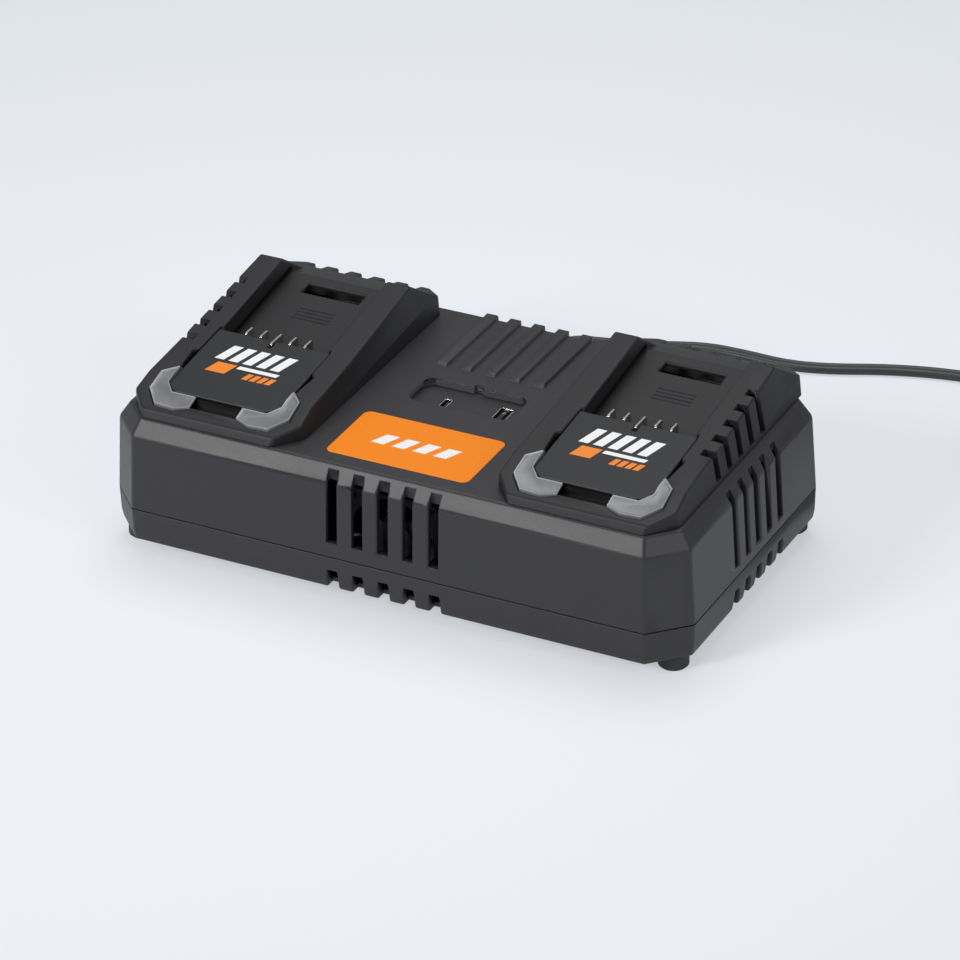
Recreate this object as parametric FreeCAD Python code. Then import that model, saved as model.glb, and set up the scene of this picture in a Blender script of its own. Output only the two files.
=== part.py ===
import FreeCAD, Part
import math
import os

# Two-bay battery charger. Millimetres, +X to the right, +Y to the rear, +Z up.
# Heights below are counted from the underside of the housing; save() lifts
# everything by the height of the feet, so that the feet stand on z = 0.

Vec = FreeCAD.Vector
os.makedirs("parts", exist_ok=True)

# Housing
body_width = 240.0
body_depth = 137.4
front_y = -body_depth / 2
rear_y = body_depth / 2
corner_cut = 13.7
wall = 2.4
parting_z = 13.35
wall_top_z = 44.0
deck_z = 50.5
wall_draft = 3.1
band_inset = 4.3
base_taper = 1.0
seam_depth = 0.6
seam_height = 0.6
fit_gap = 0.12
slide_gap = 0.05

# Feet
foot_height = 6.0
foot_radius = 5.8
foot_x = 111.0
foot_y = rear_y - 15.2
foot_stem_radius = 2.4
foot_barb_radius = 3.1
foot_barb_height = 1.6

# Ventilation slots
front_slot_pitch = 10.6
front_slot_width = 4.3
front_slot_count = 5
front_slot_bottom = 19.5
front_slot_top = 48.6
side_slot_pitch = 9.8
side_slot_width = 4.2
side_slot_count = 5
side_slot_middle_y = 2.55
side_slot_bottom = 17.5
side_slot_top = 48.2
base_slot_top = 8.0
dock_slot_bottom = 51.8
dock_slot_reach = 3.6
rear_slot_pitch = 10.3
rear_slot_width = 5.0
rear_slot_front_y = rear_y - 8.1

# Deck: label, charging sockets and ribs
label_width = 58.8
label_depth = 33.6
label_x = -0.35
label_y = front_y + 29.9
label_corner = 3.0
label_thick = 0.5
label_recess = 0.35
recess_x0 = -21.0
recess_x1 = 22.0
recess_y0 = -7.6
recess_y1 = 11.0
recess_depth = 3.0
recess_corner = 4.0
rib_pitch = 10.24
rib_width = 4.3
rib_height = 1.3
rib_count = 5
rib_y0 = 20.5
rib_y1 = rear_y - 4.1

# Battery docks
bay_x = 76.1
dock_skin = 2.2
dock_half_base = 36.4
flank_slope = 0.18
dock_front_y = front_y + 6.3
nose_lip_y = front_y + 7.7
nose_lip_z = 53.8
nose_crease_y = front_y + 25.7
nose_crease_z = 59.5
rail_front_y = -10.0
rail_front_z = 62.9
rail_rear_y = rear_y - 28.7
rail_rear_z = 70.1
ledge_front_y = rear_y - 12.2
ledge_rear_y = rear_y - 2.3
ledge_rear_z = 55.6
nose_corner_front = 26.0
nose_corner_y = front_y + 18.2
rear_corner_half = 26.2
rear_corner_y = rear_y - 11.7
rail_inner = 22.6
rail_groove = 2.4
rail_groove_height = 2.6
rail_web = 2.2
bay_front_y = -8.4
floor_rear_y = rear_y - 22.7
floor_rear_z = 61.9
floor_slope = 0.144
floor_thick = 2.0
latch_y = rear_y - 30.3
latch_width = 25.0
latch_length = 6.4
groove_count = 4
groove_pitch = 2.1
groove_first_y = 19.0
groove_length = 15.6
groove_width = 0.9
groove_depth = 0.4
corner_vent_x = 28.6
corner_vent_y = rear_y - 12.5
corner_vent_width = 2.2
corner_vent_length = 4.4

# Nose plate and status lenses
plate_front_y = front_y + 17.5
plate_front_z = 58.2
plate_rear_z = 62.6
plate_half_front = 20.05
plate_half = 23.85
plate_corner_y = front_y + 21.7
plate_thick = 2.0
plate_corner_radius = 4.0
plate_notch_width = 1.8
plate_notch_length = 4.6
shelf_thick = 1.8
lens_proud = 0.9
lens_depth = 3.4
lens_tail_y = front_y + 30.8
lens_side_x = 29.45
lens_side_y = front_y + 25.9
lens_corner_x = 29.7
lens_corner_y = front_y + 16.9
lens_nose_x = 24.1
lens_nose_y = front_y + 10.5
lens_front_x = 15.8
lens_front_y = front_y + 10.1
lens_end_x = 10.0
lens_end_y = front_y + 12.1
pit_points = [(22.6, front_y + 47.1), (25.8, front_y + 43.4), (24.9, front_y + 31.7), (23.0, front_y + 31.7)]
pit_floor_z = 56.5
lamp_board_half = 26.0
lamp_board_y0 = front_y + 13.9
lamp_board_y1 = front_y + 22.7
lamp_board_thick = 1.0
lamp_size = 2.8
lamp_height = 0.8
lamp_places = (-25.0, -18.0, 18.0, 25.0)

# Contact blades
blade_count = 5
blade_pitch = 6.35
blade_thick = 0.8
blade_y0 = -8.0
blade_y1 = -2.4
blade_top = 63.0
middle_blade_y0 = -11.4
block_width = 34.0
block_y0 = -12.5
block_y1 = 2.0
block_height = 9.0

# Screws
screw_x = 104.0
screw_y = 36.0
middle_screw_x = 32.0
middle_screw_y = rear_y - 11.7
post_radius = 4.0
post_hole_radius = 1.5
screw_radius = 1.45
screw_head_radius = 3.2
screw_head_height = 2.4
screw_length = 22.0
dock_screw_points = [(30.6, 29.5), (-30.6, 29.5), (21.0, front_y + 28.7), (-21.0, front_y + 28.7)]
dock_post_radius = 2.8
dock_screw_radius = 1.2
dock_screw_length = 7.0
dock_screw_head_radius = 2.5
dock_screw_head_height = 1.8

# Circuit board and the pieces on it
board_z = 9.0
board_thick = 1.6
board_half_x = 96.0
board_y0 = -41.0
board_y1 = 48.0
standoff_radius = 3.5
standoff_points = [(88.0, -34.0), (-88.0, -34.0), (88.0, 40.0), (-88.0, 40.0)]
core_x = -50.0
core_y = 14.0
core_size = (40.0, 35.0, 28.0)
core_leg = 8.0
coil_gap = 0.3
bulk_cap_radius = 11.0
bulk_cap_height = 32.0
bulk_cap_points = [(2.0, -29.0), (28.0, -29.0)]
small_cap_radius = 5.0
small_cap_height = 20.0
small_cap_points = [(52.0, 28.0), (52.0, 40.0), (-72.0, 28.0), (-72.0, 40.0)]
sink_x = 76.0
sink_y = -2.0
sink_length = 46.0
sink_height = 26.0
sink_fin_count = 5
sink_fin_pitch = 4.2
sink_fin_thick = 1.2
sink_base_thick = 3.0
transistor_size = (4.4, 10.2, 15.5)
transistor_pitch = 18.0
choke_x = 34.0
choke_y = 14.0
choke_outer = 11.0
choke_inner = 5.0
choke_height = 11.0
fuse_x = 10.0
fuse_y = 38.0
fuse_length = 20.0
fuse_radius = 2.6
bridge_x = 62.0
bridge_y = -32.0
bridge_size = (20.0, 4.0, 16.0)

# Cooling fan behind the front slots
fan_size = 38.0
fan_depth = 10.0
fan_y = front_y + 13.7
fan_ring_radius = fan_size / 2 - 1.6
fan_hub_radius = fan_size * 0.21
fan_tip_radius = fan_ring_radius - 0.8
fan_blade_count = 7
fan_blade_thick = 1.1
fan_blade_tilt = 32.0
fan_shaft_radius = 1.5
fan_cup_thick = 2.4
fan_strut_width = 2.4

# Charging sockets
usb_a_x = 15.3
usb_a_y = -0.8
usb_a_size = (5.7, 13.1)
usb_a_height = 11.0
usb_c_x = -8.0
usb_c_y = -1.3
usb_c_size = (3.26, 8.94)
usb_c_height = 8.0
socket_wall = 0.35
usb_board_thick = 1.6

# Mains lead
lead_radius = 3.0
lead_sides = 10
lead_exit_x = -12.0
lead_exit_z = 20.0
relief_length = 26.0
relief_root_radius = 5.2
relief_tip_radius = 3.9
relief_rib_count = 5
relief_rib_depth = 0.8
relief_flange_radius = 6.6
relief_flange_thick = 1.3
seat_gap = 0.3
coil_centre = (200.0, 150.0)
coil_outer_radius = 43.0
coil_pitch = 6.5
coil_half_turns = 7
tie_thick = 1.0
plug_length = 37.0
plug_width = 35.0
plug_thick = 14.0
plug_neck_width = 11.0
plug_pin_radius = 2.0
plug_pin_length = 19.0
plug_pin_spacing = 18.6

saved_count = 0


def save(name, shape):
    global saved_count
    lifted = shape.copy()
    lifted.translate(Vec(0, 0, foot_height))
    if not lifted.isValid():
        raise RuntimeError(name + " is not a valid solid")
    lifted.exportStep("parts/" + name + ".step")
    saved_count += 1


def face_of(points):
    return Part.Face(Part.makePolygon(points + [points[0]]))


def prism_x(profile, x0, x1):
    face = face_of([Vec(x0, y, z) for y, z in profile])
    return face.extrude(Vec(x1 - x0, 0, 0))


def prism_y(profile, y0, y1):
    face = face_of([Vec(x, y0, z) for x, z in profile])
    return face.extrude(Vec(0, y1 - y0, 0))


def prism_z(outline, z0, z1):
    face = face_of([Vec(x, y, z0) for x, y in outline])
    return face.extrude(Vec(0, 0, z1 - z0))


def block(x0, x1, y0, y1, z0, z1):
    return Part.makeBox(x1 - x0, y1 - y0, z1 - z0, Vec(x0, y0, z0))


def rod(x, y, z0, z1, radius):
    return Part.makeCylinder(radius, z1 - z0, Vec(x, y, z0))


def rod_y(x, z, y0, y1, radius):
    return Part.makeCylinder(radius, y1 - y0, Vec(x, y0, z), Vec(0, 1, 0))


def fuse(shapes):
    if len(shapes) == 1:
        return shapes[0]
    return shapes[0].multiFuse(shapes[1:]).removeSplitter()


def mirrored(shape):
    return shape.mirror(Vec(0, 0, 0), Vec(1, 0, 0))


def inset_outline(points, distance):
    # Moves every edge of a closed outline inwards and meets it with its neighbours.
    area = sum(a[0] * b[1] - b[0] * a[1] for a, b in zip(points, points[1:] + points[:1]))
    turn = 1.0 if area > 0 else -1.0
    lines = []
    for a, b in zip(points, points[1:] + points[:1]):
        length = math.hypot(b[0] - a[0], b[1] - a[1])
        nx = -(b[1] - a[1]) / length * turn
        ny = (b[0] - a[0]) / length * turn
        lines.append((nx, ny, nx * a[0] + ny * a[1] + distance))
    result = []
    for first, second in zip(lines[-1:] + lines[:-1], lines):
        det = first[0] * second[1] - second[0] * first[1]
        x = (first[2] * second[1] - second[2] * first[1]) / det
        y = (first[0] * second[2] - second[0] * first[2]) / det
        result.append((x, y))
    return result


def octagon(inset):
    hx = body_width / 2 - inset
    hy = body_depth / 2 - inset
    cut = corner_cut - inset * (2 - math.sqrt(2))
    return [(hx - cut, -hy), (hx, -hy + cut), (hx, hy - cut), (hx - cut, hy),
            (-hx + cut, hy), (-hx, hy - cut), (-hx, -hy + cut), (-hx + cut, -hy)]


def octagon_wire(inset, z):
    points = [Vec(x, y, z) for x, y in octagon(inset)]
    return Part.makePolygon(points + [points[0]])


def octagon_body(sections):
    parts = []
    for (inset0, z0), (inset1, z1) in zip(sections, sections[1:]):
        parts.append(Part.makeLoft([octagon_wire(inset0, z0), octagon_wire(inset1, z1)], True, True))
    return fuse(parts)


top_inset = (wall_top_z - parting_z) * math.tan(math.radians(wall_draft))
deck_inset = top_inset + band_inset


def slot_middles(count, pitch, middle):
    return [middle + (index - (count - 1) / 2) * pitch for index in range(count)]


def housing_screw_points():
    corners = [(sx * screw_x, sy * screw_y) for sx in (1, -1) for sy in (1, -1)]
    return corners + [(middle_screw_x, middle_screw_y), (-middle_screw_x, middle_screw_y)]


def dock_points(side):
    return [(side * bay_x + x, y) for x, y in dock_screw_points]


def base_slots(top):
    cuts = []
    depth = base_taper + wall + 1.5
    for x in slot_middles(front_slot_count, front_slot_pitch, 0.0):
        cuts.append(block(x - front_slot_width / 2, x + front_slot_width / 2, front_y - 1, front_y + depth,
                          -1, top))
    for y in slot_middles(side_slot_count, side_slot_pitch, side_slot_middle_y):
        for side in (1, -1):
            x0 = side * (body_width / 2 + 1)
            x1 = side * (body_width / 2 - depth)
            cuts.append(block(min(x0, x1), max(x0, x1), y - side_slot_width / 2,
                              y + side_slot_width / 2, -1, top))
    return cuts


def bottom_housing():
    shell_outer = octagon_body([(base_taper, 0.0), (base_taper * 0.3, 4.0), (0.0, parting_z)])
    shell_inner = octagon_body([(base_taper + wall, wall), (base_taper * 0.3 + wall, 4.0 + wall),
                                (wall, parting_z + 1)])
    body = shell_outer.cut(shell_inner)
    body = body.cut(Part.makeCompound(base_slots(base_slot_top)))
    added = []
    for x, y in housing_screw_points():
        added.append(rod(x, y, wall - 0.2, parting_z, post_radius))
    for x, y in standoff_points:
        added.append(rod(x, y, wall - 0.2, board_z, standoff_radius))
    for side in (1, -1):
        for y in (fan_y - fan_depth / 2 - 1.6, fan_y + fan_depth / 2 + 0.1):
            x0 = side * (fan_size / 2 - 6.0)
            x1 = side * (fan_size / 2 + 1.5)
            added.append(block(min(x0, x1), max(x0, x1), y, y + 1.5, wall - 0.2, 12.0))
    body = fuse([body] + added)
    holes = []
    for x, y in housing_screw_points():
        holes.append(rod(x, y, -1, parting_z + 1, post_hole_radius + 0.2))
        holes.append(rod(x, y, -1, 2 * screw_head_height, screw_head_radius + 0.3))
    for x, y in standoff_points:
        holes.append(rod(x, y, wall + 1, board_z + 1, 1.1))
    for sx in (1, -1):
        for sy in (1, -1):
            holes.append(rod(sx * foot_x, sy * foot_y, -1, wall + 1, foot_stem_radius + slide_gap))
    return body.cut(Part.makeCompound(holes))


def rubber_feet():
    profile = [(0, -foot_height), (foot_radius - 0.8, -foot_height), (foot_radius, -foot_height + 0.8),
               (foot_radius, 0), (foot_stem_radius, 0), (foot_stem_radius, wall),
               (foot_barb_radius, wall), (foot_stem_radius - 0.6, wall + foot_barb_height),
               (0, wall + foot_barb_height)]
    one = face_of([Vec(r, 0, z) for r, z in profile]).revolve(Vec(0, 0, 0), Vec(0, 0, 1), 360)
    feet = []
    for sx in (1, -1):
        for sy in (1, -1):
            foot = one.copy()
            foot.translate(Vec(sx * foot_x, sy * foot_y, 0))
            feet.append(foot)
    return Part.makeCompound(feet)


def rounded_outline_prism(x0, x1, y0, y1, z0, z1, radius):
    body = block(x0, x1, y0, y1, z0, z1)
    upright = [edge for edge in body.Edges if abs(edge.tangentAt(edge.FirstParameter).z) > 0.9]
    return body.makeFillet(radius, upright)


def top_housing():
    shell_outer = octagon_body([(0.0, parting_z + seam_height), (top_inset, wall_top_z),
                                (deck_inset, deck_z)])
    rim = octagon_body([(seam_depth, parting_z), (seam_depth, parting_z + seam_height)])
    shell_inner = octagon_body([(wall, parting_z - 1), (top_inset + wall, wall_top_z - wall * 0.4),
                                (deck_inset + wall, deck_z - wall)])
    body = shell_outer.fuse(rim).removeSplitter().cut(shell_inner)
    added = []
    for x in slot_middles(rib_count, rib_pitch, 0.0):
        side_shape = [(rib_y0, deck_z - 0.3), (rib_y0 + 1.0, deck_z + rib_height),
                      (rib_y1 - 1.0, deck_z + rib_height), (rib_y1, deck_z + 0.1),
                      (rib_y1 + 0.4, deck_z - band_inset), (rib_y1 - 4.0, deck_z - 1.0)]
        added.append(prism_x(side_shape, x - rib_width / 2, x + rib_width / 2))
    for x, y in housing_screw_points():
        added.append(rod(x, y, parting_z, deck_z - 1.0, post_radius))
    socket_floor = deck_z - recess_depth
    added.append(block(recess_x0 - 2, recess_x1 + 2, recess_y0 - 2, recess_y1 + 2,
                       socket_floor - wall, deck_z - 1.0))
    for x in (recess_x0, recess_x1):
        added.append(rod(x, (recess_y0 + recess_y1) / 2, usb_board_top(), deck_z - 1.0, 2.8))
    body = fuse([body] + added)
    cuts = []
    for x in slot_middles(front_slot_count, front_slot_pitch, 0.0):
        cuts.append(block(x - front_slot_width / 2, x + front_slot_width / 2, front_y - 1,
                          front_y + deck_inset - 1.0, front_slot_bottom, front_slot_top))
    for y in slot_middles(side_slot_count, side_slot_pitch, side_slot_middle_y):
        for side in (1, -1):
            x0 = side * (body_width / 2 + 1)
            x1 = side * (body_width / 2 - deck_inset + 1.0)
            cuts.append(block(min(x0, x1), max(x0, x1), y - side_slot_width / 2,
                              y + side_slot_width / 2, side_slot_bottom, side_slot_top))
    for x, y in housing_screw_points():
        cuts.append(rod(x, y, parting_z - 1, parting_z + screw_length, post_hole_radius))
    for side in (1, -1):
        cuts.append(block(side * bay_x - rear_corner_half, side * bay_x + rear_corner_half,
                          -24.0, ledge_front_y - 4.5, deck_z - 4, deck_z + 1))
        for x, y in dock_points(side):
            cuts.append(rod(x, y, deck_z - 4, deck_z + 1, dock_screw_radius + 0.3))
    cuts.append(label_shape(label_recess + label_thick, fit_gap, 1.0))
    cuts.append(rounded_outline_prism(recess_x0, recess_x1, recess_y0, recess_y1,
                                      socket_floor, deck_z + 1, recess_corner))
    cuts.append(block(-1.6, 2.4, recess_y1 - 0.5, recess_y1 + 1.4, socket_floor, deck_z + 1))
    cuts.append(socket_prism(usb_a_x, usb_a_y, usb_a_size, fit_gap, socket_floor - 4, deck_z))
    cuts.append(socket_prism(usb_c_x, usb_c_y, usb_c_size, fit_gap, socket_floor - 4, deck_z))
    for x in (recess_x0, recess_x1):
        cuts.append(rod(x, (recess_y0 + recess_y1) / 2, usb_board_top() - 1, deck_z - 6, 1.0))
    cuts.append(rod_y(lead_exit_x, lead_exit_z, rear_y - 8, rear_y + 1,
                      relief_root_radius + slide_gap))
    return body.cut(Part.makeCompound(cuts))


def label_shape(depth, gap, above):
    x0 = label_x - label_width / 2 - gap
    x1 = label_x + label_width / 2 + gap
    y0 = label_y - label_depth / 2 - gap
    y1 = label_y + label_depth / 2 + gap
    return rounded_outline_prism(x0, x1, y0, y1, deck_z - depth, deck_z + above, label_corner + gap)


def deck_label():
    x0 = label_x - label_width / 2
    x1 = label_x + label_width / 2
    y0 = label_y - label_depth / 2
    y1 = label_y + label_depth / 2
    floor = deck_z - label_recess - label_thick
    return rounded_outline_prism(x0, x1, y0, y1, floor, deck_z - 0.1, label_corner)


def floor_z(y):
    return floor_rear_z + floor_slope * (y - floor_rear_y)


def plate_z(y):
    slope = (plate_rear_z - plate_front_z) / (bay_front_y - plate_front_y)
    return plate_front_z + slope * (y - plate_front_y)


def nose_z(y):
    slope = (nose_crease_z - nose_lip_z) / (nose_crease_y - nose_lip_y)
    return nose_crease_z + slope * (y - nose_crease_y)


def dock_side_profile():
    rear_wall_y = rear_y - top_inset
    rear_deck_y = rear_y - deck_inset
    return [(dock_front_y, deck_z), (nose_lip_y, nose_lip_z), (nose_crease_y, nose_crease_z),
            (rail_front_y, rail_front_z), (rail_rear_y, rail_rear_z),
            (ledge_front_y, ledge_z(ledge_front_y)), (ledge_rear_y, ledge_rear_z),
            (rear_wall_y, wall_top_z), (rear_deck_y, deck_z)]


def ledge_z(y):
    slope = (ledge_rear_z - floor_rear_z) / (ledge_rear_y - floor_rear_y)
    return floor_rear_z + slope * (y - floor_rear_y)


def dock_inner_profile():
    rear_wall_y = rear_y - top_inset
    low = deck_z - 10.0
    whole = [(dock_front_y, low), (dock_front_y, deck_z), (nose_lip_y, nose_lip_z),
             (nose_crease_y, nose_crease_z), (rail_front_y, rail_front_z), (rail_rear_y, rail_rear_z),
             (ledge_front_y, ledge_z(ledge_front_y)), (ledge_rear_y, ledge_rear_z), (rear_wall_y, low)]
    return inset_outline(whole, dock_skin)


def dock_section(inset):
    z0 = deck_z - 12.0
    z1 = rail_rear_z + 10.0
    half0 = dock_half_base + (deck_z - z0) * flank_slope - inset
    half1 = dock_half_base - (z1 - deck_z) * flank_slope - inset
    return [(-half0, z0), (half0, z0), (half1, z1), (-half1, z1)]


def dock_plan():
    wide = dock_half_base + 4.0
    front_run = wide - dock_half_base
    half = [(nose_corner_front, front_y + 5.0), (wide, nose_corner_y + front_run),
            (wide, rear_corner_y - front_run), (rear_corner_half - 1.2, rear_y)]
    return half + [(-x, y) for x, y in reversed(half)]


def dock_solid(profile, inset):
    wide = dock_half_base + 5.0
    along = prism_x(profile, -wide, wide)
    across = prism_y(dock_section(inset), front_y, rear_y)
    plan = dock_plan() if inset == 0 else inset_outline(dock_plan(), inset)
    upright = prism_z(plan, deck_z - 11.0, rail_rear_z + 5.0)
    return along.common(across).common(upright)


def lens_outline(side):
    # Seen from above: hugs the front corner of the plate on one side of the bay.
    near = plate_front_y - 2 * fit_gap
    beside = plate_half + 2 * fit_gap
    points = [(beside + 0.5, lens_tail_y), (lens_side_x, lens_side_y), (lens_corner_x, lens_corner_y),
              (lens_nose_x, lens_nose_y), (lens_front_x, lens_front_y), (lens_end_x, lens_end_y),
              (lens_end_x, near), (plate_half_front + fit_gap, near),
              (beside, plate_corner_y - fit_gap), (beside, lens_tail_y - 0.5)]
    return [(side * x, y) for x, y in points]


def nose_slab(lower, upper):
    y0 = dock_front_y - 2.0
    y1 = lens_tail_y + 8.0
    rear_z = nose_crease_z + plate_z(y1) - plate_z(nose_crease_y)
    points = [(y0, nose_z(y0)), (nose_crease_y, nose_crease_z), (y1, rear_z)]
    top = [(y, z + upper) for y, z in points]
    bottom = [(y, z - lower) for y, z in reversed(points)]
    return prism_x(top + bottom, -dock_half_base, dock_half_base)


def lens(side):
    body = prism_z(lens_outline(side), deck_z, rail_rear_z)
    return body.common(nose_slab(lens_depth, lens_proud))


def round_front_corners(body, radius):
    upright = []
    for edge in body.Edges:
        level = edge.BoundBox.YMax - edge.BoundBox.YMin + edge.BoundBox.XMax - edge.BoundBox.XMin
        if level < 0.01 and edge.BoundBox.YMax < plate_corner_y + 1.0:
            upright.append(edge)
    return body.makeFillet(radius, upright)


def nose_plate():
    notch = plate_notch_width / 2
    half = [(plate_half_front, plate_front_y), (plate_half, plate_corner_y), (plate_half, bay_front_y),
            (notch, bay_front_y), (notch, bay_front_y - plate_notch_length)]
    outline = half + [(-x, y) for x, y in reversed(half)]
    y0 = plate_front_y - 2
    y1 = bay_front_y + 2
    slab = [(y0, plate_z(y0)), (y1, plate_z(y1)), (y1, plate_z(y1) - plate_thick),
            (y0, plate_z(y0) - plate_thick)]
    upright = round_front_corners(prism_z(outline, deck_z, rail_rear_z), plate_corner_radius)
    return upright.common(prism_x(slab, -dock_half_base, dock_half_base))


def plate_pocket():
    outline = inset_outline([(-plate_half_front, plate_front_y), (plate_half_front, plate_front_y),
                             (plate_half, plate_corner_y), (plate_half, bay_front_y + 1.0),
                             (-plate_half, bay_front_y + 1.0), (-plate_half, plate_corner_y)], -fit_gap)
    y0 = plate_front_y - 2
    y1 = bay_front_y + 2
    slab = [(y0, plate_z(y0) + 20), (y1, plate_z(y1) + 20), (y1, plate_z(y1) - plate_thick),
            (y0, plate_z(y0) - plate_thick)]
    upright = round_front_corners(prism_z(outline, deck_z, rail_rear_z + 10), plate_corner_radius + fit_gap)
    return upright.common(prism_x(slab, -dock_half_base, dock_half_base))


def blade_starts():
    starts = []
    for index in range(blade_count):
        start = middle_blade_y0 if index == blade_count // 2 else blade_y0
        starts.append(((index - (blade_count - 1) / 2) * blade_pitch, start))
    return starts


def dock(side):
    outer = dock_solid(dock_side_profile(), 0)
    hollow = dock_solid(dock_inner_profile(), dock_skin)
    shell = outer.cut(hollow)
    half = rail_inner + rail_groove + rail_web
    above = rail_rear_z + 20.0
    under_bay = [(bay_front_y - 2.5, floor_z(bay_front_y) - floor_thick),
                 (floor_rear_y, floor_rear_z - floor_thick),
                 (ledge_rear_y + 2, ledge_z(ledge_rear_y) - floor_thick), (ledge_rear_y + 2, above),
                 (bay_front_y - 2.5, above)]
    shelf_y0 = dock_front_y
    shelf_y1 = bay_front_y - 0.5
    under_plate = plate_thick + shelf_thick
    shelf = [(shelf_y0, nose_z(shelf_y0) - under_plate),
             (nose_crease_y, plate_z(nose_crease_y) - under_plate),
             (shelf_y1, plate_z(shelf_y1) - under_plate), (shelf_y1, above), (shelf_y0, above)]
    wide = dock_half_base + 4.0
    added = [prism_x(under_bay, -half, half).common(outer), prism_x(shelf, -wide, wide).common(outer)]
    for x, y in dock_screw_points:
        added.append(rod(x, y, deck_z, rail_rear_z, dock_post_radius).common(outer))
    body = fuse([shell] + added)
    bay = [(bay_front_y, floor_z(bay_front_y)), (floor_rear_y, floor_rear_z), (ledge_rear_y, ledge_rear_z),
           (ledge_rear_y + 3, ledge_rear_z), (ledge_rear_y + 3, above), (bay_front_y, above)]
    groove = [(bay_front_y + 1, floor_z(bay_front_y + 1)), (floor_rear_y, floor_rear_z),
              (floor_rear_y, floor_rear_z + rail_groove_height),
              (bay_front_y + 1, floor_z(bay_front_y + 1) + rail_groove_height)]
    groove_half = rail_inner + rail_groove
    cuts = [prism_x(bay, -rail_inner, rail_inner), prism_x(groove, -groove_half, groove_half), plate_pocket()]
    cuts.append(block(-latch_width / 2, latch_width / 2, latch_y - latch_length / 2,
                      latch_y + latch_length / 2, deck_z, rail_rear_z))
    for index in range(groove_count):
        y = groove_first_y + index * groove_pitch
        z = floor_z(y) - groove_depth
        cuts.append(block(-groove_length / 2, groove_length / 2, y - groove_width / 2,
                          y + groove_width / 2, z, z + 3))
    for lens_side in (1, -1):
        cuts.append(prism_z(inset_outline(lens_outline(lens_side), -fit_gap), deck_z, rail_rear_z))
        cuts.append(prism_z([(lens_side * x, y) for x, y in pit_points], pit_floor_z, rail_rear_z))
    for x, y0 in blade_starts():
        gap = blade_thick / 2 + slide_gap
        cuts.append(block(x - gap, x + gap, y0 - slide_gap, blade_y1 + slide_gap, deck_z, blade_top + 1))
    for y in slot_middles(side_slot_count, side_slot_pitch, side_slot_middle_y):
        inner = side * (dock_half_base - (rail_rear_z - deck_z) * flank_slope - dock_slot_reach)
        outer_x = side * (dock_half_base + 5)
        cuts.append(block(min(inner, outer_x), max(inner, outer_x), y - side_slot_width / 2,
                          y + side_slot_width / 2, dock_slot_bottom, rail_rear_z + 1))
    for x in slot_middles(5, rear_slot_pitch, 0.0):
        cuts.append(block(x - rear_slot_width / 2, x + rear_slot_width / 2, rear_slot_front_y,
                          rear_y + 1, deck_z + 1.0, rail_rear_z))
    cuts.append(block(corner_vent_x - corner_vent_width / 2, corner_vent_x + corner_vent_width / 2,
                      corner_vent_y - corner_vent_length / 2, corner_vent_y + corner_vent_length / 2,
                      deck_z + 3, rail_rear_z))
    for x, y in dock_screw_points:
        cuts.append(rod(x, y, deck_z - 1, deck_z + dock_screw_length, dock_screw_radius + 0.05))
    body = body.cut(Part.makeCompound(cuts))
    body.translate(Vec(side * bay_x, 0, 0))
    return body


def terminal_block():
    low = deck_z - 5.0
    top = [(block_y0, low), (block_y1, low), (block_y1, floor_z(block_y1) - floor_thick - slide_gap),
           (block_y0, floor_z(block_y0) - floor_thick - slide_gap)]
    body = prism_x(top, -block_width / 2, block_width / 2)
    slots = []
    for x, y0 in blade_starts():
        gap = blade_thick / 2 + slide_gap
        slots.append(block(x - gap, x + gap, y0 - slide_gap, blade_y1 + slide_gap, low - 1, rail_rear_z))
    return body.cut(Part.makeCompound(slots))


def terminal_blades():
    blades = []
    for x, y0 in blade_starts():
        low = deck_z - 8.0
        profile = [(y0, low), (blade_y1, low), (blade_y1, blade_top - 0.6), (blade_y1 - 0.6, blade_top),
                   (y0 + 0.6, blade_top), (y0, blade_top - 0.6)]
        blades.append(prism_x(profile, x - blade_thick / 2, x + blade_thick / 2))
    return Part.makeCompound(blades)


def lamp_board():
    top = deck_z + lamp_board_thick
    board = block(-lamp_board_half, lamp_board_half, lamp_board_y0, lamp_board_y1, deck_z, top)
    middle_y = (lamp_board_y0 + lamp_board_y1) / 2
    half = lamp_size / 2
    lamps = []
    for lamp_x in lamp_places:
        lamps.append(block(lamp_x - half, lamp_x + half, middle_y - half, middle_y + half,
                           top, top + lamp_height))
    return board, Part.makeCompound(lamps)


def usb_board_top():
    return deck_z - recess_depth - usb_a_height


def socket_prism(x, y, size, gap, z0, z1):
    hx = size[0] / 2 + gap
    hy = size[1] / 2 + gap
    return rounded_outline_prism(x - hx, x + hx, y - hy, y + hy, z0, z1, min(hx * 0.5, 1.6))


def usb_a_shell():
    low = usb_board_top()
    top = deck_z - recess_depth
    outer = socket_prism(usb_a_x, usb_a_y, usb_a_size, 0, low, top)
    inner = block(usb_a_x - usb_a_size[0] / 2 + socket_wall, usb_a_x + usb_a_size[0] / 2 - socket_wall,
                  usb_a_y - usb_a_size[1] / 2 + socket_wall, usb_a_y + usb_a_size[1] / 2 - socket_wall,
                  low + 1.2, top + 1)
    return outer.cut(inner)


def usb_a_tongue():
    low = usb_board_top() + 1.2
    x0 = usb_a_x - usb_a_size[0] / 2 + socket_wall + 0.6
    return block(x0, x0 + 1.9, usb_a_y - 5.6, usb_a_y + 5.6, low, deck_z - recess_depth - 1.2)


def usb_c_shell():
    top = deck_z - recess_depth
    low = usb_board_top()
    outer = socket_prism(usb_c_x, usb_c_y, usb_c_size, 0, low, top)
    bore = (usb_c_size[0] - 2 * socket_wall, usb_c_size[1] - 2 * socket_wall)
    inner = socket_prism(usb_c_x, usb_c_y, bore, 0, low + 3.0, top + 1)
    return outer.cut(inner)


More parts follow.
